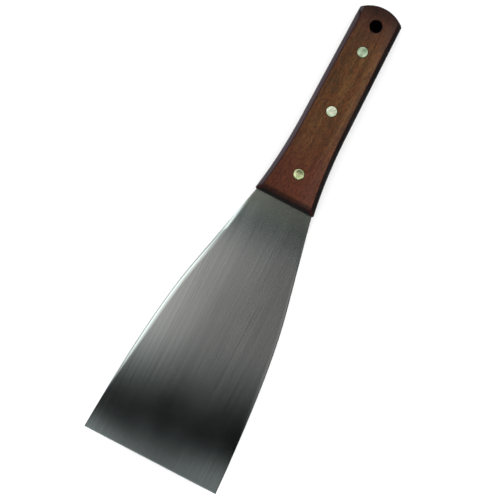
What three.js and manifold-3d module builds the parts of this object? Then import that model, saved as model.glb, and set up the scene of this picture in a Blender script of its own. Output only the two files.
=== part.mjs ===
// A flexible putty knife with a three-inch working edge.
//
// One piece of spring steel is both the blade and the full tang. Two wooden scales clamp the tang, and
// three two-part cutler's rivets hold them: each rivet is a pin half pressed into a tube half. A hole
// through the scales and the tang hangs the knife on a nail.
//
// Millimetres. The origin is the middle of the working edge, on the mid-plane of the blade. +X points
// out of the working edge, along the knife, and +Z points out of the flat of the blade.

import * as THREE from 'three';
import { mergeVertices } from 'three/addons/utils/BufferGeometryUtils.js';
import Module from 'manifold-3d';

// Blade
const EDGE_WIDTH = 76.2;          // working edge, corner to corner: three inches
const BLADE_LENGTH = 149.4;       // from the front of the handle to the working edge
const NECK_WIDTH = 32;            // blade width where it leaves the handle
const NECK_SLOPE = 0.228;         // half-width gained per millimetre beside the handle
const NECK_LENGTH = 50;           // length of the straight sides, before they start to curve
const EDGE_SLOPE = 0.05;          // half-width gained per millimetre at the working edge
const TANG_THICKNESS = 1.2;
const EDGE_THICKNESS = 0.6;       // the exposed blade tapers evenly from the tang to this

// Handle
const HANDLE_LENGTH = 112.4;
const FRONT_WIDTH = 34;           // widest point, at the front of the handle
const FRONT_SLOPE = 0.19;         // half-width gained per millimetre at the front of the handle
const GRIP_WIDTH = 25.7;          // where the flare towards the front begins
const GRIP_SLOPE = 0.0128;        // half-width gained per millimetre along the grip
const FLARE_LENGTH = 45;
const REAR_RADIUS = 17.6;         // the rounded rear end, seen from above
const REAR_CORNER_RADIUS = 1.5;   // where the rear end meets the sides
const SCALE_THICKNESS = 7.2;
const BEVEL_WIDTH = 2.4;          // flat bevel along the sides and the front, seen from above
const BEVEL_DEPTH = 1.9;          // the same bevel, seen from the side

// Holes and rivets
const HANG_HOLE_DIAMETER = 6.4;
const HANG_HOLE_FROM_REAR = 10.3;
const HANG_HOLE_CHAMFER = 0.4;
const RIVET_FROM_FRONT = { front: 16.4, middle: 52.8, rear: 87.2 };
const HEAD_DIAMETER = 5.6;
const HEAD_THICKNESS = 1.2;
const HEAD_GAP = 0.15;            // round the head, to the wall of its counterbore
const SHANK_DIAMETER = 4.2;
const SHANK_GAP = 0.15;           // round the tube, to the wall of its hole
const SHANK_END_GAP = 0.6;        // between the open end of the tube and the pin's head
const PIN_DIAMETER = 3;
const PIN_GAP = 0.05;             // round the pin, to the bore of the tube
const PIN_END_GAP = 1.5;          // between the end of the pin and the bottom of the bore
const BORE_FLOOR = 0.5;           // depth of solid shank left between the bore and the tube's head

const CURVE_STEPS = 16;           // straight steps along one curve of an outline
const ROUND_STEPS = 32;           // straight steps round a hole or a rivet
const PAST = 5;                   // how far a cutting solid reaches past what it cuts

// Planes and places that follow from the dimensions
const HANDLE_FRONT = -BLADE_LENGTH;
const HANDLE_REAR = HANDLE_FRONT - HANDLE_LENGTH;
const TANG_FACE = TANG_THICKNESS / 2;
const SCALE_FACE = TANG_FACE + SCALE_THICKNESS;
const HEAD_SEAT = SCALE_FACE - HEAD_THICKNESS;
const HANG_HOLE_X = HANDLE_REAR + HANG_HOLE_FROM_REAR;

const STEEL = new THREE.MeshStandardMaterial({ color: 0x9a9d9b, metalness: 1, roughness: 0.35 });
const WOOD = new THREE.MeshStandardMaterial({ color: 0x5a3a2a, metalness: 0, roughness: 0.45 });
const RIVET_METAL = new THREE.MeshStandardMaterial({ color: 0xd5dbbd, metalness: 1, roughness: 0.3 });

const wasm = await Module();
wasm.setup();

// Solids --------------------------------------------------------------------------------------------

// A closed geometry as a solid that can be cut and joined.
function solidOf(geometry) {
  geometry.deleteAttribute('normal');
  geometry.deleteAttribute('uv');
  const merged = mergeVertices(geometry);
  return new wasm.Manifold(new wasm.Mesh({
    numProp: 3,
    vertProperties: merged.attributes.position.array,
    triVerts: Uint32Array.from(merged.index.array),
  }));
}

// A solid as a geometry, ready for a mesh.
function geometryOf(solid) {
  const { vertProperties, triVerts } = solid.getMesh();
  const geometry = new THREE.BufferGeometry();
  geometry.setAttribute('position', new THREE.BufferAttribute(vertProperties, 3));
  geometry.setIndex(new THREE.BufferAttribute(triVerts, 1));
  return geometry;
}

// A shape in the plane of the blade, given thickness, centred on the blade's mid-plane.
function plate(shape, thickness) {
  const geometry = new THREE.ExtrudeGeometry(shape, { depth: thickness, bevelEnabled: false });
  return solidOf(geometry.translate(0, 0, -thickness / 2));
}

// A side profile, drawn as x and z, carried right across the knife.
function bar(profile) {
  const width = EDGE_WIDTH + 2 * PAST;
  const geometry = new THREE.ExtrudeGeometry(profile, { depth: width, bevelEnabled: false });
  return solidOf(geometry.rotateX(Math.PI / 2).translate(0, width / 2, 0));
}

// An upright cone or cylinder at x, on the knife's centre line, from height z0 up to z1.
function upright(x, z0, z1, radius0, radius1 = radius0) {
  const geometry = new THREE.CylinderGeometry(radius1, radius0, z1 - z0, ROUND_STEPS);
  return solidOf(geometry.rotateX(Math.PI / 2).translate(x, 0, (z0 + z1) / 2));
}

// Outlines, seen from above ---------------------------------------------------------------------------

// Where a line through p and a line through q cross; slopes are in y per x.
function crossing(p, slopeP, q, slopeQ) {
  const x = (q.y - p.y + slopeP * p.x - slopeQ * q.x) / (slopeP - slopeQ);
  return new THREE.Vector2(x, p.y + slopeP * (x - p.x));
}

// Continues a path from p to q on one curve that leaves p and meets q at the given slopes.
function curveTo(path, p, slopeP, q, slopeQ) {
  const control = crossing(p, slopeP, q, slopeQ);
  path.quadraticCurveTo(control.x, control.y, q.x, q.y);
}

// A closed shape from the path of its +Y side and the mirror image of that path.
function mirrored(path) {
  const side = path.getPoints(CURVE_STEPS);
  const otherSide = side.map((point) => new THREE.Vector2(point.x, -point.y)).reverse();
  return new THREE.Shape([...side, ...otherSide]);
}

// Continues a path along the +Y side of the handle, from the grip to the front corner.
function followHandleSide(path) {
  const flareStart = new THREE.Vector2(HANDLE_FRONT - FLARE_LENGTH, GRIP_WIDTH / 2);
  const frontCorner = new THREE.Vector2(HANDLE_FRONT, FRONT_WIDTH / 2);
  path.lineTo(flareStart.x, flareStart.y);
  curveTo(path, flareStart, GRIP_SLOPE, frontCorner, FRONT_SLOPE);
}

// Half the width of the grip at x, behind the flare.
function gripHalfWidth(x) {
  return GRIP_WIDTH / 2 + GRIP_SLOPE * (x - (HANDLE_FRONT - FLARE_LENGTH));
}

// The +Y side of the knife from the rear end to the front of the handle. The rear end is an arc about
// the centre line, and a small arc joins it to the side.
function handleSide() {
  const rearCentreX = HANDLE_REAR + REAR_RADIUS;
  const innerRadius = REAR_RADIUS - REAR_CORNER_RADIUS;
  const cornerY = gripHalfWidth(rearCentreX - innerRadius) - REAR_CORNER_RADIUS;
  const cornerX = rearCentreX - Math.sqrt(innerRadius ** 2 - cornerY ** 2);
  const joinAngle = Math.atan2(cornerY, cornerX - rearCentreX);
  const path = new THREE.Path();
  path.absarc(rearCentreX, 0, REAR_RADIUS, Math.PI, joinAngle, true);
  path.absarc(cornerX, cornerY, REAR_CORNER_RADIUS, joinAngle, Math.PI / 2, true);
  followHandleSide(path);
  return path;
}

// The whole knife: the tang, which fills the handle's outline, then the flared blade.
function steelOutline() {
  const neck = new THREE.Vector2(HANDLE_FRONT, NECK_WIDTH / 2);
  const curveStart = new THREE.Vector2(neck.x + NECK_LENGTH, neck.y + NECK_SLOPE * NECK_LENGTH);
  const edgeCorner = new THREE.Vector2(0, EDGE_WIDTH / 2);
  const path = handleSide();
  path.lineTo(neck.x, neck.y);
  path.lineTo(curveStart.x, curveStart.y);
  curveTo(path, curveStart, NECK_SLOPE, edgeCorner, EDGE_SLOPE);
  return mirrored(path);
}

// Sub-parts -------------------------------------------------------------------------------------------

// An even wedge, EDGE_THICKNESS thick at the working edge and as thick as the tang at the front of the
// handle.
function taper() {
  const halfThickness = (x) => (EDGE_THICKNESS - (TANG_THICKNESS - EDGE_THICKNESS) * x / BLADE_LENGTH) / 2;
  const behind = HANDLE_REAR - PAST;
  const profile = new THREE.Path();
  profile.moveTo(behind, halfThickness(behind));
  profile.lineTo(PAST, halfThickness(PAST));
  return bar(mirrored(profile));
}

function blade() {
  const holes = Object.values(RIVET_FROM_FRONT).map((distance) => shankHole(HANDLE_FRONT - distance));
  let steel = plate(steelOutline(), TANG_THICKNESS).intersect(taper());
  for (const hole of [...holes, hangHole()]) steel = steel.subtract(hole);
  return steel;
}

function shankHole(x) {
  return upright(x, -SCALE_FACE - PAST, SCALE_FACE + PAST, SHANK_DIAMETER / 2 + SHANK_GAP);
}

function hangHole() {
  return upright(HANG_HOLE_X, -SCALE_FACE - PAST, SCALE_FACE + PAST, HANG_HOLE_DIAMETER / 2);
}

// The handle without its holes, both scales and the tang in one: bevelled along the sides and the front,
// and cut square to the rear outline.
function handleBlock() {
  return sideBevels().intersect(frontBevel()).intersect(plate(rearOutline(), 2 * (SCALE_FACE + PAST)));
}

// The handle's sides with their bevels, running on past both ends.
function sideBevels() {
  const behind = HANDLE_REAR - BEVEL_WIDTH - PAST;
  const ahead = BEVEL_WIDTH + PAST;
  const path = new THREE.Path();
  path.moveTo(behind, gripHalfWidth(behind));
  followHandleSide(path);
  path.lineTo(HANDLE_FRONT + ahead, FRONT_WIDTH / 2 + FRONT_SLOPE * ahead);
  const geometry = new THREE.ExtrudeGeometry(mirrored(path), {
    depth: 2 * (SCALE_FACE - BEVEL_DEPTH),
    bevelThickness: BEVEL_DEPTH,
    bevelSize: BEVEL_WIDTH,
    bevelOffset: -BEVEL_WIDTH,
    bevelSegments: 1,
  });
  return solidOf(geometry.translate(0, 0, BEVEL_DEPTH - SCALE_FACE));
}

// The handle seen from the side, which gives it its bevelled front.
function frontBevel() {
  const profile = new THREE.Path();
  profile.moveTo(HANDLE_REAR - PAST, SCALE_FACE);
  profile.lineTo(HANDLE_FRONT - BEVEL_WIDTH, SCALE_FACE);
  profile.lineTo(HANDLE_FRONT, SCALE_FACE - BEVEL_DEPTH);
  return bar(mirrored(profile));
}

// The handle's rear end, with sides that run on past the front.
function rearOutline() {
  const path = handleSide();
  path.lineTo(HANDLE_FRONT + PAST, FRONT_WIDTH / 2);
  return mirrored(path);
}

// The scale on the +Z side of the tang, with its counterbores and the chamfer of the hang hole.
function upperScale() {
  const halfSpace = new THREE.BoxGeometry(2 * HANDLE_LENGTH, 2 * FRONT_WIDTH, 2 * SCALE_THICKNESS);
  halfSpace.translate(HANDLE_FRONT - HANDLE_LENGTH / 2, 0, TANG_FACE + SCALE_THICKNESS);
  let scale = handleBlock().intersect(solidOf(halfSpace));
  for (const distance of Object.values(RIVET_FROM_FRONT)) {
    const x = HANDLE_FRONT - distance;
    const counterbore = upright(x, HEAD_SEAT, SCALE_FACE + PAST, HEAD_DIAMETER / 2 + HEAD_GAP);
    scale = scale.subtract(shankHole(x)).subtract(counterbore);
  }
  const holeRadius = HANG_HOLE_DIAMETER / 2;
  const chamferFoot = SCALE_FACE - HANG_HOLE_CHAMFER;
  const chamfer = upright(HANG_HOLE_X, chamferFoot, SCALE_FACE + PAST, holeRadius,
    holeRadius + HANG_HOLE_CHAMFER + PAST);
  return scale.subtract(hangHole()).subtract(chamfer);
}

// Half of a rivet, turned from a profile of [radius, height] pairs that starts and ends on the axis.
function rivetHalf(profile) {
  const points = profile.map(([radius, height]) => new THREE.Vector2(radius, height));
  return new THREE.LatheGeometry(points, ROUND_STEPS).rotateX(Math.PI / 2);
}

// The pin half. Its head lies flush in the upper scale and its solid pin reaches down.
function rivetPin() {
  const pinEnd = -HEAD_SEAT + BORE_FLOOR + PIN_END_GAP;
  return rivetHalf([
    [0, pinEnd],
    [PIN_DIAMETER / 2, pinEnd],
    [PIN_DIAMETER / 2, HEAD_SEAT],
    [HEAD_DIAMETER / 2, HEAD_SEAT],
    [HEAD_DIAMETER / 2, SCALE_FACE],
    [0, SCALE_FACE],
  ]);
}

// The tube half. Its head lies flush in the lower scale and its open tube reaches up round the pin.
function rivetTube() {
  const tubeEnd = HEAD_SEAT - SHANK_END_GAP;
  const boreRadius = PIN_DIAMETER / 2 + PIN_GAP;
  const boreFloor = -HEAD_SEAT + BORE_FLOOR;
  return rivetHalf([
    [0, -SCALE_FACE],
    [HEAD_DIAMETER / 2, -SCALE_FACE],
    [HEAD_DIAMETER / 2, -HEAD_SEAT],
    [SHANK_DIAMETER / 2, -HEAD_SEAT],
    [SHANK_DIAMETER / 2, tubeEnd],
    [boreRadius, tubeEnd],
    [boreRadius, boreFloor],
    [0, boreFloor],
  ]);
}

// The knife -------------------------------------------------------------------------------------------

const knife = new THREE.Group();

function place(name, geometry, material) {
  const mesh = new THREE.Mesh(geometry, material);
  mesh.name = name;
  knife.add(mesh);
  return mesh;
}

place('blade', geometryOf(blade()), STEEL);

const upper = upperScale();
place('upper_scale', geometryOf(upper), WOOD);
place('lower_scale', geometryOf(upper.mirror([0, 0, 1])), WOOD);

for (const [where, distance] of Object.entries(RIVET_FROM_FRONT)) {
  place(`${where}_rivet_pin`, rivetPin(), RIVET_METAL).position.x = HANDLE_FRONT - distance;
  place(`${where}_rivet_tube`, rivetTube(), RIVET_METAL).position.x = HANDLE_FRONT - distance;
}

export default knife;
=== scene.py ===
# A flexible putty knife on a pale surface. Fine meshes, procedural materials, light and the camera are
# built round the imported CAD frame, which gives the knife's sizes and places.
#
# Metres. +X runs along the knife and out of its working edge, +Z is up, and the knife lies flat.

import math

import bmesh
import bpy
from mathutils import Matrix, Vector


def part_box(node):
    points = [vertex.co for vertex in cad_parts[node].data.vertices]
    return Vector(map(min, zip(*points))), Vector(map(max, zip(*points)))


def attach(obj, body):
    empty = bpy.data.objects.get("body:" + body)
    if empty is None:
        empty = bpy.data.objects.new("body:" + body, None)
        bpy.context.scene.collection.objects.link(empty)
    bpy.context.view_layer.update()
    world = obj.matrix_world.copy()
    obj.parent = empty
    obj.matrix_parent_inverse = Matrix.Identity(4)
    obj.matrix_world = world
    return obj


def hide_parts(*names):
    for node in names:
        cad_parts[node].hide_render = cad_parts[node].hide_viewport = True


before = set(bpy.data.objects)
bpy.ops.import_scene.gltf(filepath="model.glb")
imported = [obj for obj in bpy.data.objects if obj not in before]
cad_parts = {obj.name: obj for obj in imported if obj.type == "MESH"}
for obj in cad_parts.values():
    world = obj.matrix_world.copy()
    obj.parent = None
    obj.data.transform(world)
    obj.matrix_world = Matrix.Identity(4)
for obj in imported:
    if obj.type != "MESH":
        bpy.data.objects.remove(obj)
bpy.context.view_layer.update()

MM = 0.001
WELD = 0.002 * MM               # points of a CAD mesh closer than this are one point
CLEAR = 0.01 * MM               # places further apart than this are apart
FLAT = 0.9                      # z of a normal beyond which a CAD face is taken to lie flat

# Finish of the edges, which the CAD solids leave sharp
CORNER_ROUNDING = 0.9 * MM      # the handle's two front corners, seen from above
BEVEL_ROUNDING = 1.2 * MM       # where a scale's bevels meet its face and its sides
REAR_ROUNDING = 1.4 * MM        # round the rear end of a scale
SEAM_ROUNDING = 0.12 * MM       # where a scale meets the tang
MOUTH_ROUNDING = 0.5 * MM       # round the mouth of the hanging hole
COUNTERBORE_CHAMFER = 0.06 * MM
HEAD_ROUNDING = 0.22 * MM       # round the rim of a rivet head
HEAD_DISH = 0.1 * MM            # depth of the hollow in a rivet head
RIM_WIDTH = 0.4 * MM            # the blade's edges are broken by a narrow facet
RIM_DEPTH = 0.13 * MM
STRIP_WIDTH = 1.8 * MM          # ground strip inside that facet along the blade's long edges
STRIP_DEPTH = 0.23 * MM
STRIP_START = 30 * MM           # facet and strip reach their full size this far from the handle
STRIP_NARROWS = 65 * MM         # this far from the working edge the strip begins to narrow
STRIP_END = 14 * MM             # and here it ends
SUPPORT = 0.35 * MM             # narrow band that keeps a flat face flat up to its rounded edge

# The rear end of a scale's outline
ON_REAR_ARC = 4                 # index of a point that lies well along its rear arc
GRIP_SLOPE = 0.05               # the grip begins where the outline widens by less than this per unit of x

# Fineness of the meshes
OUTLINE_STEP = 3 * MM           # longest step along an outline
PROFILE_STEP = 0.3 * MM         # longest step up the side of a scale
FRONT_STEPS = 6                 # across half of the handle's front
ROUND_STEPS = 96                # round a hole or a rivet
DISH_STEPS = 8                  # from the middle of a rivet head to its rim
ARC_STEPS = 5                   # along the arc of one rounded edge
QUARTER_ARC = [math.pi / 2 * i / ARC_STEPS for i in range(ARC_STEPS + 1)]
CUTTER_REACH = 2 * MM           # how far a cutter stands out of what it cuts
BLADE_SHARP = 9                 # edges that turn by more degrees than this stay sharp on the blade
OTHER_SHARP = 32                # and on the other pieces


# Reading the frame -----------------------------------------------------------------------------------

def chained(edges):
    """Splits edges that form closed loops into lists of points, in order round each loop."""
    unused = {edge.index: edge for edge in edges}
    loops = []
    while unused:
        edge = unused.pop(min(unused))
        first, here = edge.verts
        loop = [first, here]
        while here is not first:
            edge = next(e for e in here.link_edges if e.index in unused)
            unused.pop(edge.index)
            here = edge.other_vert(here)
            loop.append(here)
        loops.append([vertex.co.copy() for vertex in loop[:-1]])
    return loops


def flat_outlines(node, up):
    """The outlines of a CAD node's flat faces that look up (1) or down (-1), the longest outline first."""
    mesh = bmesh.new()
    mesh.from_mesh(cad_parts[node].data)
    bmesh.ops.remove_doubles(mesh, verts=mesh.verts, dist=WELD)
    mesh.normal_update()
    mesh.edges.index_update()
    flat = {face for face in mesh.faces if face.normal.z * up > FLAT}
    rim = [edge for edge in mesh.edges if len(flat.intersection(edge.link_faces)) == 1]
    loops = chained(rim)
    mesh.free()
    return sorted(loops, key=lambda loop: -sum((a - b).length for a, b in zip(loop, loop[1:])))


def near_side(outline):
    """The +Y half of a symmetric outline, as (x, y) points from the rear of the knife to the front."""
    return sorted(((p.x, p.y) for p in outline if p.y > -WELD), key=lambda p: (p[0], -p[1]))


def holes(node, up):
    """(centre x, radius) of each round hole in a CAD node's top (1) or bottom (-1), front one first."""
    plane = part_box(node)[1 if up > 0 else 0].z
    found = []
    for loop in flat_outlines(node, up)[1:]:
        xs = [p.x for p in loop]
        if abs(loop[0].z - plane) < CLEAR:
            found.append(((max(xs) + min(xs)) / 2, (max(xs) - min(xs)) / 2))
    return sorted(found, reverse=True)


def turned_sizes(node):
    """A turned CAD node's axis x, and the heights of its points from low to high, each with its radii."""
    low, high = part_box(node)
    x = (low.x + high.x) / 2
    radii = {}
    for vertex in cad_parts[node].data.vertices:
        radius = math.hypot(vertex.co.x - x, vertex.co.y)
        radii.setdefault(round(vertex.co.z / WELD), set()).add(round(radius / WELD))
    return x, [(z * WELD, [r * WELD for r in sorted(radii[z])]) for z in sorted(radii)]


# Planes of the knife: x along it, z up
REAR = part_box("upper_scale")[0].x
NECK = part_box("upper_scale")[1].x         # where the blade leaves the handle
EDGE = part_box("blade")[1].x
TANG_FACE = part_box("blade")[1].z
SCALE_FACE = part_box("upper_scale")[1].z


# Lines -----------------------------------------------------------------------------------------------

def finer(points, longest):
    """The same broken line with points added, so that no step is longer than that."""
    line = [points[0]]
    for (x0, y0), (x1, y1) in zip(points, points[1:]):
        steps = math.ceil(math.dist((x0, y0), (x1, y1)) / longest)
        for i in range(1, steps + 1):
            line.append((x0 + (x1 - x0) * i / steps, y0 + (y1 - y0) * i / steps))
    return line


def rounded(points, radius):
    """A broken line of 2-D points whose corners, all but its two ends, are rounded by arcs."""
    line = [points[0]]
    for before, corner, after in zip(points, points[1:], points[2:]):
        before, corner, after = Vector(before), Vector(corner), Vector(after)
        back, on = (before - corner).normalized(), (after - corner).normalized()
        half_angle = back.angle(on) / 2
        trim = radius / math.tan(half_angle)
        centre = corner + (back + on).normalized() * radius / math.sin(half_angle)
        start, end = corner + back * trim - centre, corner + on * trim - centre
        for i in range(ARC_STEPS + 1):
            line.append(tuple(centre + start.slerp(end, i / ARC_STEPS) * radius))
    return line + [points[-1]]


def with_round_corner(line, index, after):
    """A broken line whose corner at index, on its way to the point after, becomes a short arc."""
    arc = rounded([line[index - 1], line[index], after], CORNER_ROUNDING)[1:-1]
    return line[:index] + arc + line[index + 1:]


def rising(line):
    """The points of a line whose x lies clearly below the next point's."""
    kept = [p for p, following in zip(line, line[1:]) if following[0] - p[0] > CLEAR]
    return kept + [line[-1]]


def y_at(line, x):
    """y at x on a broken line that runs along x. Past its ends it runs straight on."""
    i = min(max(1, sum(p[0] < x for p in line)), len(line) - 1)
    (x0, y0), (x1, y1) = line[i - 1], line[i]
    return y0 + (y1 - y0) * (x - x0) / (x1 - x0)


def fade(value, start, end):
    """Rises smoothly from 0 at start to 1 at end."""
    share = min(1.0, max(0.0, (value - start) / (end - start)))
    return share * share * (3 - 2 * share)


# Meshes ----------------------------------------------------------------------------------------------

def object_from(name, mesh):
    """A new object from a bmesh, with points that coincide welded and its normals turned outwards."""
    bmesh.ops.remove_doubles(mesh, verts=mesh.verts, dist=WELD)
    bmesh.ops.dissolve_degenerate(mesh, edges=mesh.edges, dist=WELD)
    bmesh.ops.recalc_face_normals(mesh, faces=mesh.faces)
    data = bpy.data.meshes.new(name)
    mesh.to_mesh(data)
    mesh.free()
    piece = bpy.data.objects.new(name, data)
    bpy.context.scene.collection.objects.link(piece)
    return piece


def skin(name, rings):
    """A closed piece from rings that hold equally many points: quads between them and a cap on each end."""
    mesh = bmesh.new()
    loops = [[mesh.verts.new(point) for point in ring] for ring in rings]
    for ring, following in zip(loops, loops[1:]):
        for i, vertex in enumerate(ring):
            j = (i + 1) % len(ring)
            mesh.faces.new((vertex, ring[j], following[j], following[i]))
    mesh.faces.new(loops[0])
    mesh.faces.new(loops[-1])
    return object_from(name, mesh)


def turned(name, x, profile):
    """A solid of revolution about an upright axis at x, from (radius, z) points that start and end on it."""
    mesh = bmesh.new()
    angles = [2 * math.pi * i / ROUND_STEPS for i in range(ROUND_STEPS)]
    loops = []
    for radius, z in profile:
        if radius < WELD:
            loops.append([mesh.verts.new((x, 0, z))] * ROUND_STEPS)
        else:
            ring = [(x + radius * math.cos(a), radius * math.sin(a), z) for a in angles]
            loops.append([mesh.verts.new(point) for point in ring])
    for ring, following in zip(loops, loops[1:]):
        for i in range(ROUND_STEPS):
            j = (i + 1) % ROUND_STEPS
            corners = (ring[i], ring[j], following[j], following[i])
            mesh.faces.new(dict.fromkeys(corners))
    return object_from(name, mesh)


def cut(piece, cutters):
    """Cuts solids out of a piece and removes them."""
    for cutter in cutters:
        modifier = piece.modifiers.new("cut", "BOOLEAN")
        modifier.object = cutter
        modifier.operation = "DIFFERENCE"
        modifier.solver = "EXACT"
    graph = bpy.context.evaluated_depsgraph_get()
    cut_mesh = bpy.data.meshes.new_from_object(piece.evaluated_get(graph))
    piece.modifiers.clear()
    piece.data = cut_mesh
    for cutter in cutters:
        bpy.data.objects.remove(cutter)


# Blade -----------------------------------------------------------------------------------------------

def blade_side():
    """The +Y side of the steel, from the rear of the tang to a corner of the working edge."""
    line = near_side(flat_outlines("blade", 1)[0])
    corner = next(i for i, p in enumerate(line) if p[0] > NECK - CLEAR)
    line = with_round_corner(line, corner, line[corner + 1])
    rim_x = EDGE - RIM_WIDTH
    line.insert(-1, (rim_x, y_at(line, rim_x)))
    return finer(rising([p for p in line if p[1] > CLEAR]), OUTLINE_STEP)


def blade_section(x, half_width, edge_half):
    """A ring of points round the steel at x. All round the exposed blade its edges are broken, and along
    each long edge runs a shallow ground strip. Both are kept narrow where the steel itself is."""
    half = TANG_FACE + (edge_half - TANG_FACE) * max(0.0, (x - NECK) / (EDGE - NECK))
    exposed = fade(x, NECK, NECK + STRIP_START)
    ground = exposed * fade(x, EDGE - STRIP_END, EDGE - STRIP_NARROWS)
    widest = half_width / 4
    outer = half_width - min(RIM_WIDTH, widest)
    inner = outer - min(STRIP_WIDTH * ground + CLEAR, widest)
    if x > EDGE - CLEAR:
        half -= RIM_DEPTH
    shoulder = half - STRIP_DEPTH * ground
    quarter = [
        (half_width, shoulder - RIM_DEPTH * exposed),
        (outer, shoulder),
        (inner, half),
        (inner - min(SUPPORT, widest), half),
    ]
    top = quarter + [(-y, z) for y, z in reversed(quarter)]
    return [(x, y, z) for y, z in top + [(-y, -z) for y, z in top]]


def rivet_hole_cutter(x, radius):
    """A plain bore through the tang."""
    reach = TANG_FACE + CUTTER_REACH
    return turned("cutter", x, [(0, -reach), (radius, -reach), (radius, reach), (0, reach)])


def make_blade():
    edge_half = min(p.z for p in flat_outlines("blade", 1)[0])
    blade = skin("visible_blade", [blade_section(x, y, edge_half) for x, y in blade_side()])
    cut(blade, [rivet_hole_cutter(x, radius) for x, radius in holes("blade", 1)])
    return blade


# Scales ----------------------------------------------------------------------------------------------

def scale_profile():
    """How far inside the outline a scale's surface lies at each height, from the tang to its face."""
    bevel_width = NECK - max(p.x for p in flat_outlines("upper_scale", 1)[0])
    front = [v.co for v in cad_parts["upper_scale"].data.vertices if v.co.x > NECK - CLEAR]
    foot = (0, TANG_FACE + SEAM_ROUNDING)
    last = (bevel_width + 2 * BEVEL_ROUNDING, SCALE_FACE)
    corners = [foot, (0, max(v.z for v in front)), (bevel_width, SCALE_FACE), last]
    return finer([(SEAM_ROUNDING, TANG_FACE)] + rounded(corners, BEVEL_ROUNDING), PROFILE_STEP)


def rear_arc(line):
    """The radius and the centre of the arc that ends an outline at the rear."""
    x, y = line[ON_REAR_ARC]
    radius = ((x - REAR) ** 2 + y ** 2) / (2 * (x - REAR))
    return radius, Vector((REAR + radius, 0))


def rear_inset(z):
    """How far inside the outline the rear end of a scale lies at a height."""
    seam = max(0.0, SEAM_ROUNDING - (z - TANG_FACE))
    over = max(0.0, z - (SCALE_FACE - REAR_ROUNDING))
    return seam + REAR_ROUNDING - math.sqrt(max(0.0, REAR_ROUNDING ** 2 - over ** 2))


def scale_level(line, inset, z):
    """The upper scale's outline at one height. The sides and the front lie in by inset. The points of
    the rear end slide towards the centre of its arc."""
    rear_radius, rear_centre = rear_arc(line)
    steps = enumerate(zip(line, line[1:]))
    start = next(i for i, (p, q) in steps if q[1] - p[1] < GRIP_SLOPE * (q[0] - p[0]))
    grip = line[start:]
    ring = []
    for x, y in line[:start + 1]:
        share = min(1 - rear_inset(z) / rear_radius, (grip[0][1] - inset) / max(y, CLEAR))
        ring.append(tuple(rear_centre + (Vector((x, y)) - rear_centre) * share))

    low, high = ring[-1][0], NECK - inset
    straight = [p for p in grip if p[0] < NECK - CORNER_ROUNDING]
    for x, y in grip[1:]:
        moved = low + (high - low) * (x - grip[0][0]) / (NECK - grip[0][0])
        ring.append((moved, y_at(straight, moved) - inset - (y_at(straight, x) - y)))

    corner = ring[-1]
    ring += [(corner[0], corner[1] * i / FRONT_STEPS) for i in range(FRONT_STEPS - 1, -1, -1)]
    ring += [(x, -y) for x, y in reversed(ring[1:-1])]
    return [(x, y, z) for x, y in ring]


def scale_cutter(x, radius, wall):
    """A round cutter right through the upper scale. It has that radius at the tang, and a wall of
    (radius, z) points whose last radius it keeps on its way out."""
    below, above = TANG_FACE - CUTTER_REACH, SCALE_FACE + CUTTER_REACH
    mouth = wall[-1][0]
    return turned("cutter", x, [(0, below), (radius, below)] + wall + [(mouth, above), (0, above)])


def counterbore_cutter(x, shank, head, seat):
    """Room for one rivet: its shank's bore and the chamfered counterbore round its head."""
    return scale_cutter(x, shank, [
        (shank, seat),
        (head, seat),
        (head, SCALE_FACE - COUNTERBORE_CHAMFER),
        (head + COUNTERBORE_CHAMFER, SCALE_FACE),
    ])


def hanging_hole_cutter(x, radius):
    """The hanging hole with its rounded mouth."""
    return scale_cutter(x, radius, [
        (radius + MOUTH_ROUNDING * (1 - math.cos(a)), SCALE_FACE - MOUTH_ROUNDING * (1 - math.sin(a)))
        for a in QUARTER_ARC
    ])


def make_scale(name, up):
    """The scale on the upper (1) or lower (-1) side of the tang."""
    line = near_side(flat_outlines("upper_scale", -1)[0])
    line = rising(with_round_corner(line, len(line) - 1, (NECK, 0)))
    line = finer(line, OUTLINE_STEP)
    scale = skin(name, [scale_level(line, inset, z) for inset, z in scale_profile()])

    _, (_, (seat, _), _) = turned_sizes("front_rivet_pin")
    *counterbores, _ = holes("upper_scale", 1)
    *bores, hanging_hole = holes("upper_scale", -1)
    cutters = []
    for (x, head), (_, shank) in zip(counterbores, bores):
        cutters.append(counterbore_cutter(x, shank, head, seat))
    cut(scale, cutters + [hanging_hole_cutter(*hanging_hole)])

    if up < 0:
        scale.data.transform(Matrix.Scale(-1, 4, (0, 0, 1)))
        scale.data.flip_normals()
    return scale


# Rivets ----------------------------------------------------------------------------------------------

def head_profile(radius, seat, face):
    """A rivet head from the middle of its dished face, over its rounded rim, to the edge of its seat.
    A lower head has its face below its seat."""
    out = 1 if face > seat else -1
    flat = radius - HEAD_ROUNDING
    shares = [i / DISH_STEPS for i in range(DISH_STEPS)]
    dish = [(flat * share, face - out * HEAD_DISH * (1 - share ** 2)) for share in shares]
    rim = [
        (flat + HEAD_ROUNDING * math.sin(a), face - out * HEAD_ROUNDING * (1 - math.cos(a)))
        for a in QUARTER_ARC
    ]
    return dish + rim + [(radius, seat)]


def make_rivet_pin(name, node):
    x, ((end, (_, pin)), (seat, _), (face, (_, head))) = turned_sizes(node)
    return turned(name, x, head_profile(head, seat, face) + [(pin, seat), (pin, end), (0, end)])


def make_rivet_tube(name, node):
    x, ((face, (_, head)), (seat, (shank, _)), (floor, (_, bore)), (end, _)) = turned_sizes(node)
    tube = [(shank, seat), (shank, end), (bore, end), (bore, floor), (0, floor)]
    return turned(name, x, head_profile(head, seat, face) + tube)


# Shader nodes ----------------------------------------------------------------------------------------

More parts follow.
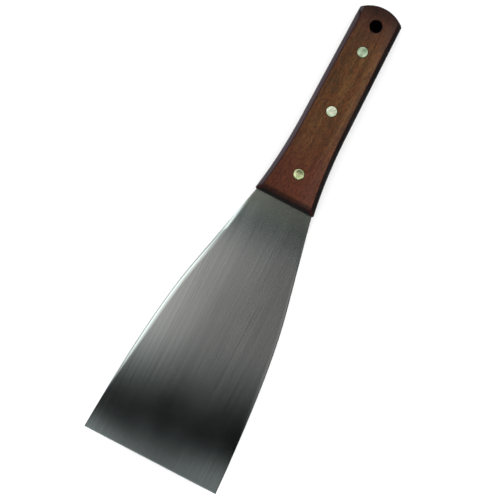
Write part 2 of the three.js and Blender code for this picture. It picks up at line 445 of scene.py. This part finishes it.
class Wiring:
    """Adds shader nodes to one node tree. An input is given as a plain value or as a socket to link."""

    def __init__(self, tree):
        self.tree = tree
        tree.nodes.clear()

    def feed(self, socket, value):
        if isinstance(value, bpy.types.NodeSocket):
            self.tree.links.new(value, socket)
        else:
            socket.default_value = value

    def add(self, kind, *values, settings=None, **named):
        """Adds a node. Values go to its first inputs in turn, and named ones to the inputs so named."""
        node = self.tree.nodes.new("ShaderNode" + kind)
        for key, value in (settings or {}).items():
            setattr(node, key, value)
        for socket, value in zip(node.inputs, values):
            self.feed(socket, value)
        for key, value in named.items():
            self.feed(node.inputs[key.replace("_", " ")], value)
        return node

    def math(self, operation, a, b=0.0):
        return self.add("Math", a, b, settings={"operation": operation}).outputs[0]

    def plus(self, a, b):
        return self.math("ADD", a, b)

    def minus(self, a, b):
        return self.math("SUBTRACT", a, b)

    def times(self, a, b):
        return self.math("MULTIPLY", a, b)

    def vector(self, operation, a, b):
        node = self.add("VectorMath", a, b, settings={"operation": operation})
        return node.outputs["Value" if operation == "DOT_PRODUCT" else "Vector"]

    def split(self, vector):
        """The x, y and z of a vector."""
        return self.add("SeparateXYZ", vector).outputs

    def place(self):
        """The point that is shaded, in the coordinates of its object."""
        return self.add("TexCoord").outputs["Object"]

    def level(self):
        """1 where the surface faces straight up or down, falling to 0 where it stands upright."""
        _, _, upright = self.split(self.add("NewGeometry").outputs["Normal"])
        return self.math("ABSOLUTE", upright)

    def remap(self, value, low, high, to_low=0.0, to_high=1.0):
        """Carries low..high smoothly to to_low..to_high and stays there outside."""
        node = self.add("MapRange", value, low, high, to_low, to_high)
        node.interpolation_type = "SMOOTHSTEP"
        return node.outputs[0]

    def mix(self, share, a, b, blend="MIX"):
        """A colour between a, at share 0, and b, or its blend with a, at share 1."""
        node = self.add("Mix", settings={"data_type": "RGBA", "blend_type": blend})
        colour_a, colour_b, colour_out = node.inputs[6], node.inputs[7], node.outputs[2]
        self.feed(node.inputs[0], share)
        self.feed(colour_a, a)
        self.feed(colour_b, b)
        return colour_out

    def shaded(self, colour, factor):
        """A colour times a plain factor."""
        return self.mix(1.0, colour, factor, blend="MULTIPLY")

    def noise(self, place, size, detail=2.0, roughness=0.5, distortion=0.0):
        """Noise from 0 to 1 whose blotches are about size = (x, y, z) millimetres."""
        stretched = self.vector("MULTIPLY", place, [1 / (length * MM) for length in size])
        node = self.add("TexNoise", Vector=stretched, Scale=1.0, Detail=detail, Roughness=roughness,
                        Distortion=distortion)
        return node.outputs[0]

    def bump(self, height, depth):
        """A normal for a relief of that height (0 to 1), that many millimetres deep."""
        return self.add("Bump", Height=height, Distance=depth * MM, Strength=1.0).outputs[0]


def material(name):
    """A new material and the wiring of its empty node tree."""
    made = bpy.data.materials.new(name)
    made.use_nodes = True
    return made, Wiring(made.node_tree)


def rgb(r, g, b):
    return (r, g, b, 1.0)


def grey(value):
    return rgb(value, value, value)


# Materials -------------------------------------------------------------------------------------------

# Linear colours
DARK_WOOD = rgb(0.043, 0.019, 0.006)
PALE_WOOD = rgb(0.083, 0.039, 0.012)
GINGER_WOOD = rgb(0.08, 0.026, 0.008)
FRONT_WOOD = rgb(0.06, 0.014, 0.007)      # towards the blade
REAR_WOOD = rgb(0.03, 0.0095, 0.007)      # round the hanging hole
WOOD_FIBRE = rgb(0.022, 0.008, 0.004)
WOOD_PORE = rgb(0.008, 0.003, 0.002)
BLACK_STAIN = rgb(0.003, 0.003, 0.003)
BROWN_STAIN = rgb(0.007, 0.005, 0.004)
WORN_STAIN = rgb(0.035, 0.008, 0.009)

DARK_STEEL = rgb(0.57, 0.58, 0.575)
PALE_STEEL = rgb(0.62, 0.63, 0.625)
STEEL_STREAK = rgb(0.46, 0.47, 0.47)
STEEL_SCRATCH = rgb(0.36, 0.36, 0.35)
STEEL_BY_HANDLE = rgb(0.55, 0.54, 0.45)
# painted highlight: paler steel for the ground strips
STRIP_HIGHLIGHT_STEEL = rgb(0.82, 0.83, 0.825)
# painted shade: dark steel for the facet round the blade's edges
RIM_SHADE_STEEL = rgb(0.26, 0.31, 0.3)

BRIGHT_NICKEL = rgb(0.93, 0.99, 0.76)
STAINED_NICKEL = rgb(0.48, 0.57, 0.38)
RIM_DARKENING = rgb(0.3, 0.27, 0.15)
REAR_RIVET_TINT = rgb(0.456, 0.577, 0.507)        # what is left of the metal's colour towards the rear
YELLOWING = rgb(1.0, 1.0, 0.73)           # and what yellowing leaves of it


def bare_wood(w, place, grain, fibre, mottle, pores):
    """Brown wood, paler towards +Y, redder towards the blade, and darkest at its two ends."""
    x, y, _ = w.split(place)
    figure = w.noise(grain, (40, 3.4, 3.4), detail=3, distortion=0.4)
    speckle = w.noise(grain, (1.7, 0.8, 0.8), detail=2, roughness=0.7)
    colour = w.mix(w.remap(figure, 0.35, 0.65), DARK_WOOD, PALE_WOOD)
    colour = w.mix(w.remap(mottle, 0.4, 0.62, 0, 0.6), colour, GINGER_WOOD)
    colour = w.mix(w.remap(x, NECK - 50 * MM, NECK - 12 * MM, 0, 0.85), colour, FRONT_WOOD)
    colour = w.mix(w.remap(x, REAR, REAR + 32 * MM, 0.85, 0), colour, REAR_WOOD)
    colour = w.mix(w.remap(fibre, 0.35, 0.65, 0, 0.4), colour, WOOD_FIBRE)
    colour = w.mix(w.times(pores, 0.65), colour, WOOD_PORE)
    colour = w.shaded(colour, w.remap(speckle, 0.3, 0.7, 0.75, 1.3))
    colour = w.shaded(colour, w.remap(y, -11 * MM, 11 * MM, 0.85, 1.04))
    colour = w.shaded(colour, w.remap(x, NECK - 5.2 * MM, NECK - 3.4 * MM, 1, 0.33))
    return w.shaded(colour, w.remap(x, REAR + 3 * MM, REAR + 9 * MM, 0.55, 1))


def bevel_stain(w, level, fibre):
    """Nearly black stain, a little worn where the bevels meet the face."""
    stain = w.mix(w.remap(fibre, 0.35, 0.65), BLACK_STAIN, BROWN_STAIN)
    return w.mix(w.remap(level, 0.78, 0.88, 0, 0.4), stain, WORN_STAIN)


def wood():
    """Reddish-brown hardwood with its grain along the handle. Its bevels are stained and lacquered, and
    the stain is thinner on its sides."""
    made, w = material("hardwood")
    place = w.place()
    x, y, _ = w.split(place)
    bend = w.times(w.minus(w.noise(place, (70, 25, 25)), 0.5), 5 * MM)
    grain = w.vector("ADD", place, w.add("CombineXYZ", 0.0, bend, bend).outputs[0])
    fibre = w.noise(grain, (6, 0.45, 0.45), detail=4, roughness=0.7)
    mottle = w.noise(grain, (5, 2.4, 2.4), detail=3, roughness=0.6)
    pores = w.remap(w.noise(grain, (3.2, 0.22, 0.22), detail=1), 0.6, 0.72)

    level = w.plus(w.level(), w.times(w.minus(mottle, 0.5), 0.06))
    face = w.remap(level, 0.945, 0.996)
    side = w.remap(level, 0.2, 0.6, 1, 0)
    bare = bare_wood(w, place, grain, fibre, mottle, pores)
    stained = w.mix(w.times(side, 0.4), bevel_stain(w, level, fibre), bare)

    relief = w.times(w.minus(w.times(fibre, 0.5), pores), w.remap(face, 0, 1, 0.15, 1))
    smudge = w.remap(w.noise(place, (14, 9, 9)), 0.3, 0.7, 0.18, 0.26)
    matt = w.math("MAXIMUM", face, w.times(side, 0.6))
    sheen = w.times(face, w.remap(y, 4 * MM, 10 * MM, 0.1, 0.2))
    lacquer = w.remap(x, REAR + 35 * MM, REAR + 65 * MM, 0.37, 0.48)
    gloss = w.times(w.remap(level, 0.785, 0.85, 1, 0.06), lacquer)
    rough = w.plus(smudge, w.times(matt, 0.25))
    shader = w.add(
        "BsdfPrincipled", Base_Color=w.mix(face, stained, bare), Roughness=rough,
        Normal=w.bump(relief, 0.03), Specular_IOR_Level=w.math("MAXIMUM", gloss, sheen))
    w.add("OutputMaterial", shader.outputs[0])
    return made


def steel():
    """Spring steel ground lengthwise, with fine streaks along the blade that smear reflections across
    it. It is olive by the handle. Its ground strips are polished and painted paler, a painted highlight,
    and the facet round its edges is painted dark as painted shade, which draws a dark line along them."""
    made, w = material("ground_steel")
    place = w.place()
    x, _, _ = w.split(place)
    fine = w.noise(place, (90, 0.8, 8), detail=3, roughness=0.6)
    broad = w.noise(place, (160, 2.2, 8), detail=3, roughness=0.6)
    cloud = w.noise(place, (45, 22, 22))
    scratch = w.remap(w.noise(place, (70, 0.7, 8), detail=1), 0.62, 0.76)

    colour = w.mix(w.remap(broad, 0.35, 0.65), DARK_STEEL, PALE_STEEL)
    colour = w.mix(w.remap(fine, 0.35, 0.65, 0, 0.5), colour, STEEL_STREAK)
    colour = w.mix(w.remap(x, NECK + 3 * MM, NECK + 16 * MM, 0.8, 0), colour, STEEL_BY_HANDLE)
    colour = w.mix(w.times(scratch, 0.5), colour, STEEL_SCRATCH)
    level = w.level()
    # painted highlight: paler steel makes the ground strips' reflection brighter
    colour = w.mix(w.remap(level, 0.993, 0.998, 1, 0), colour, STRIP_HIGHLIGHT_STEEL)
    # painted shade: dark steel on the facet round the edges draws a dark edge line
    colour = w.mix(w.remap(level, 0.955, 0.985, 1, 0), colour, RIM_SHADE_STEEL)

    relief = w.plus(fine, w.times(broad, 0.6))
    rough = w.plus(w.remap(cloud, 0.3, 0.7, 0.125, 0.155), w.times(fine, 0.03))
    shader = w.add(
        "BsdfPrincipled", Base_Color=colour, Metallic=1.0, Roughness=rough, Anisotropic=0.85,
        Tangent=w.add("CombineXYZ", 0.0, 1.0, 0.0).outputs[0], Normal=w.bump(relief, 0.0012))
    w.add("OutputMaterial", shader.outputs[0])
    return made


def nickel_silver():
    """Pale, faintly yellow rivet metal: polished, with fine scratches, and darker round the rim. The rear
    rivets are darker and greener, and the front ones yellower."""
    made, w = material("nickel_silver")
    place = w.place()
    x, _, _ = w.split(place)
    stain = w.noise(place, (2.4, 2.4, 2.4), detail=3)
    scratch = w.noise(place, (3, 0.1, 3))
    colour = w.mix(w.remap(stain, 0.42, 0.6), BRIGHT_NICKEL, STAINED_NICKEL)
    # darker on the rounded rim of each head
    colour = w.mix(w.remap(w.level(), 0.5, 0.95, 1, 0), colour, RIM_DARKENING)
    # darker and greener towards the rear
    towards_rear = w.remap(x, REAR + 25 * MM, REAR + 50 * MM, 0.8, 0)
    colour = w.mix(towards_rear, colour, REAR_RIVET_TINT, blend="MULTIPLY")
    yellowed = w.remap(x, NECK - 40 * MM, NECK - 20 * MM)
    colour = w.mix(yellowed, colour, YELLOWING, blend="MULTIPLY")
    rough = w.remap(stain, 0.4, 0.62, 0.14, 0.24)
    shader = w.add(
        "BsdfPrincipled", Base_Color=colour, Metallic=1.0, Roughness=rough, Normal=w.bump(scratch, 0.004))
    w.add("OutputMaterial", shader.outputs[0])
    return made


# The knife -------------------------------------------------------------------------------------------


def finish_piece(piece, node, skin_material, sharp=OTHER_SHARP):
    """Gives a piece its looks and lets it stand for a CAD node. It is shaded smooth, apart from the
    edges that turn by more than so many degrees."""
    piece.data.shade_smooth()
    piece.data.set_sharp_from_angle(angle=math.radians(sharp))
    piece.data.materials.clear()
    piece.data.materials.append(skin_material)
    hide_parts(node)
    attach(piece, "root")


finish_piece(make_blade(), "blade", steel(), BLADE_SHARP)
hardwood = wood()
finish_piece(make_scale("visible_upper_scale", 1), "upper_scale", hardwood)
finish_piece(make_scale("visible_lower_scale", -1), "lower_scale", hardwood)
rivet_metal = nickel_silver()
for where in ("front", "middle", "rear"):
    pin, tube = f"{where}_rivet_pin", f"{where}_rivet_tube"
    finish_piece(make_rivet_pin(f"visible_{pin}", pin), pin, rivet_metal)
    finish_piece(make_rivet_tube(f"visible_{tube}", tube), tube, rivet_metal)


# Camera ----------------------------------------------------------------------------------------------

# The knife is seen from straight above through a long lens, turned so that the blade points down and to
# the left. The aim is a little off the middle of the knife.
KNIFE_TURN = math.radians(27.55)          # between the picture's downward direction and the blade
FIELD = 257.5 * MM                        # width of the picture at the blade
LENS = 400.0                              # focal length and sensor width, both in millimetres
SENSOR = 36.0
AIM = Vector(((REAR + EDGE) / 2 + 11.1 * MM, -4.3 * MM, 0))
CAMERA_HEIGHT = FIELD * LENS / SENSOR
CLIP_START = 0.05                         # the camera sees from this far away
CLIP_END = 20                             # to this far


def make_camera():
    data = bpy.data.cameras.new("camera")
    data.lens, data.sensor_width = LENS, SENSOR
    data.clip_start, data.clip_end = CLIP_START, CLIP_END
    camera = bpy.data.objects.new("camera", data)
    bpy.context.scene.collection.objects.link(camera)
    right = Vector((-math.sin(KNIFE_TURN), math.cos(KNIFE_TURN), 0))
    up = Vector((-math.cos(KNIFE_TURN), -math.sin(KNIFE_TURN), 0))
    turn = Matrix((right, up, right.cross(up))).transposed()
    camera.matrix_world = Matrix.Translation(AIM + Vector((0, 0, CAMERA_HEIGHT))) @ turn.to_4x4()
    bpy.context.scene.camera = camera


# Stage -----------------------------------------------------------------------------------------------

FLOOR_HALF_WIDTH = 6
PAD_HEIGHT = 0.05 * MM                    # of the pad above the floor
PAD_SPREAD = 1.5                          # how much wider than the hanging hole the pad is


def flat_sheet(name, centre, half_x, half_y, skin_material):
    """A flat sheet that belongs to the stage."""
    mesh = bmesh.new()
    corners = [(-half_x, -half_y), (half_x, -half_y), (half_x, half_y), (-half_x, half_y)]
    mesh.faces.new([mesh.verts.new((x, y, 0)) for x, y in corners])
    piece = object_from(name, mesh)
    piece.location = centre
    piece.data.materials.append(skin_material)
    return piece


def dull_material(name, brightness, specular):
    """A rough, colourless material."""
    made, w = material(name)
    shader = w.add(
        "BsdfPrincipled", Base_Color=grey(brightness), Roughness=0.9, Specular_IOR_Level=specular)
    w.add("OutputMaterial", shader.outputs[0])
    return made


def make_floor():
    pale = dull_material("pale_floor", 0.92, 0.1)
    flat_sheet("floor", (AIM.x, AIM.y, -SCALE_FACE), FLOOR_HALF_WIDTH, FLOOR_HALF_WIDTH, pale)


def make_hole_shade_pad():
    """A black sheet between the handle and the floor, wholly hidden but for the hanging hole. It is painted
    shade: it makes the hole as dark as deep shade.
    """
    black = dull_material("painted_hole_shade", 0.004, 0.0)
    x, radius = holes("lower_scale", -1)[-1]
    half = PAD_SPREAD * radius
    flat_sheet("hole_shade_pad", (x, 0, PAD_HEIGHT - SCALE_FACE), half, half, black)


# Overhead sheet --------------------------------------------------------------------------------------

# A softly lit sheet above the blade, seen only in reflections. A point of the blade mirrors the point of
# the sheet that lies further out from the aim, so the sheet's pattern is the blade's, spread out: dim by
# the handle, lit along the middle, and a dark band short of the working edge.
#
# Ranges along are shares of the blade's exposed length, from 0 at the handle to 1 at the working edge.
# Ranges across are places on the blade's width. The light grows or fades smoothly over each range.
SHEET_HEIGHT = 250 * MM                   # above the blade
SHEET_HALF_WIDTH = 400 * MM
SHEET_MARGIN = 150 * MM                   # the sheet reaches this far past the working edge
SHEET_LAP = 12 * MM                       # and this far over the handle
PATTERN_HALF_WIDTH = 40 * MM              # slant and bow grow no further than this far off the axis
BAND_SLANT = 0.13                         # the dark band leans by this much across the blade
BAND_BOW = 28                             # along per square metre: its far side curves back at the sides
DIM_STEP = (0.06, 0.09)                   # along: the dim part by the handle gets dimmer
LIGHT_BEGINS = (0.075, 0.21)              # the lit middle takes over
BAND_BEGINS = (0.5, 0.83)                 # it fades into the dark band
BAND_ENDS = (0.93, 1.04)                  # and the sheet is lit again
WINDOW_SIDE = (-50 * MM, 5 * MM)          # across: the light grows towards -Y
FAR_SIDE = (10 * MM, 35 * MM)             # and again a little towards +Y
VEIL = (-45 * MM, -12 * MM)               # a faint veil covers the -Y side, band and all
MIDDLE_GLOW = 0.175                       # radiance of the lit middle
BEYOND_GLOW = 0.165                       # and past the band
COOL = rgb(0.88, 1, 0.98)
WARM = rgb(1, 0.98, 0.965)
COOL_WINDOW = rgb(0.87, 1, 0.97)


def sheet_window(w, across, along):
    """A bright strip off the -Y side of the blade."""
    strip = w.times(w.remap(across, -85 * MM, -60 * MM, 1, 0), w.remap(across, -130 * MM, -105 * MM))
    return w.times(strip, w.remap(along, 0.6, 0.8, 1, 0))


def sheet_light(w, across, along, bowed_along):
    """The sheet's tint and radiance."""
    middle = w.times(w.remap(along, *LIGHT_BEGINS), w.remap(along, *BAND_BEGINS, 1, 0))
    dim = w.times(w.remap(along, *LIGHT_BEGINS, 1, 0), w.remap(along, *DIM_STEP, 0.11, 0.045))
    dim = w.times(dim, w.remap(along, 0, 0.05, 0.7, 1))
    glow = w.plus(w.times(middle, MIDDLE_GLOW), dim)
    glow = w.times(glow, w.remap(across, *WINDOW_SIDE, 4.6, 1))
    glow = w.times(glow, w.remap(across, *FAR_SIDE, 1, 1.12))
    glow = w.plus(glow, w.remap(across, *VEIL, 0.04, 0))
    sides = w.plus(w.remap(across, *WINDOW_SIDE, 3, 1), w.remap(across, 5 * MM, 45 * MM, 0, 0.7))
    glow = w.plus(glow, w.times(sides, w.remap(bowed_along, *BAND_ENDS, 0, BEYOND_GLOW)))
    window = sheet_window(w, across, along)
    tint = w.mix(window, w.mix(middle, COOL, WARM), COOL_WINDOW)
    return tint, w.plus(glow, window)


def make_overhead_sheet():
    made, w = material("overhead_sheet")
    spread = 1 + SHEET_HEIGHT / CAMERA_HEIGHT
    start = (NECK - AIM.x) * spread - SHEET_LAP
    end = (EDGE - AIM.x) * spread + SHEET_MARGIN
    centre = Vector((AIM.x + (start + end) / 2, AIM.y, SHEET_HEIGHT))

    x, y, _ = w.split(w.place())
    across = w.math("DIVIDE", y, spread)
    limits = (-PATTERN_HALF_WIDTH, PATTERN_HALF_WIDTH)
    aside = w.remap(across, *limits, *limits)
    from_handle = w.plus(w.plus(x, (end - start) / 2 - SHEET_LAP), w.times(aside, BAND_SLANT * spread))
    along = w.math("DIVIDE", from_handle, (EDGE - NECK) * spread)
    bowed_along = w.plus(along, w.times(w.times(aside, aside), BAND_BOW))
    emission = w.add("Emission", *sheet_light(w, across, along, bowed_along))
    w.add("OutputMaterial", emission.outputs[0])

    sheet = flat_sheet("overhead_sheet", centre, (end - start) / 2, SHEET_HALF_WIDTH, made)
    sheet.visible_camera = False
    sheet.visible_diffuse = False
    sheet.visible_shadow = False


# Lamps and surroundings ------------------------------------------------------------------------------

LAMP_DISTANCE = 1.5
LAMP_SIZE = 0.9
BACKDROP = 1.35                           # radiance of the plain backdrop
WALLS = 0.4                               # and of the studio's walls
WINDOW = (0, -1, -0.05)                   # direction of the studio's window
WINDOW_GLOW = 3
WINDOW_TINT = rgb(1, 0.62, 0.82)
CLOTH = 0.08                              # share of the light that dark cloth leaves
UP = (0, 0, 1)


def make_lamp(name, direction, power):
    """A soft square lamp that shines on the knife from a direction and shows in no reflection."""
    data = bpy.data.lights.new(name, "AREA")
    data.size, data.energy = LAMP_SIZE, power
    lamp = bpy.data.objects.new(name, data)
    bpy.context.scene.collection.objects.link(lamp)
    towards = Vector(direction).normalized()
    lamp.location = AIM + towards * LAMP_DISTANCE
    lamp.visible_glossy = False
    lamp.rotation_euler = towards.to_track_quat("Z", "Y").to_euler()


def lobe(w, direction, towards, outer, inner):
    """1 within the inner angle of a direction, in degrees, falling to 0 at the outer one."""
    nearness = w.vector("DOT_PRODUCT", direction, Vector(towards).normalized())
    return w.remap(nearness, math.cos(math.radians(outer)), math.cos(math.radians(inner)))


def make_world():
    """A plain pale backdrop all round. Reflections show a studio instead: a bright ring of ceiling
    round the camera, a window on the -Y side, and on the other sides dark cloth with grey walls above."""
    world = bpy.data.worlds.new("studio")
    bpy.context.scene.world = world
    world.use_nodes = True
    w = Wiring(world.node_tree)
    direction = w.add("TexCoord").outputs["Generated"]
    x, y, z = w.split(direction)

    ceiling = w.times(lobe(w, direction, UP, 70, 55), 1.6)
    ceiling = w.minus(ceiling, w.times(lobe(w, direction, UP, 26, 16), 0.9))
    ceiling = w.minus(ceiling, w.times(lobe(w, direction, UP, 9, 3), 0.6))
    window = lobe(w, direction, WINDOW, 22, 6)
    lit = w.plus(w.plus(ceiling, w.times(window, WINDOW_GLOW)), WALLS)
    behind = w.remap(y, 0.3, 0.6, 1, CLOTH)
    beside = w.remap(w.math("ABSOLUTE", x), 0.4, 0.8, 1, CLOTH)
    wall = w.times(w.remap(z, 0.2, 0.42, 0, 0.35), w.remap(z, 0.6, 0.75, 1, 0))
    glow = w.times(lit, w.math("MAXIMUM", w.times(behind, beside), wall))

    studio = w.add("Background", w.mix(window, grey(1), WINDOW_TINT), glow)
    backdrop = w.add("Background", grey(1), BACKDROP)
    reflected = w.add("LightPath").outputs["Is Glossy Ray"]
    mixed = w.add("MixShader", reflected, backdrop.outputs[0], studio.outputs[0])
    w.add("OutputWorld", mixed.outputs[0])
    world.cycles.sampling_method = "NONE"      # so that the overhead sheet hides it from reflections


make_camera()
make_floor()
# painted shade: a black sheet that darkens the hanging hole
make_hole_shade_pad()
make_overhead_sheet()
make_world()
make_lamp("key_light", (0, -0.7, 0.7), 9)
make_lamp("fill_light", (-0.3, 0.6, 0.7), 7)
bpy.context.scene.view_settings.view_transform = "Standard"
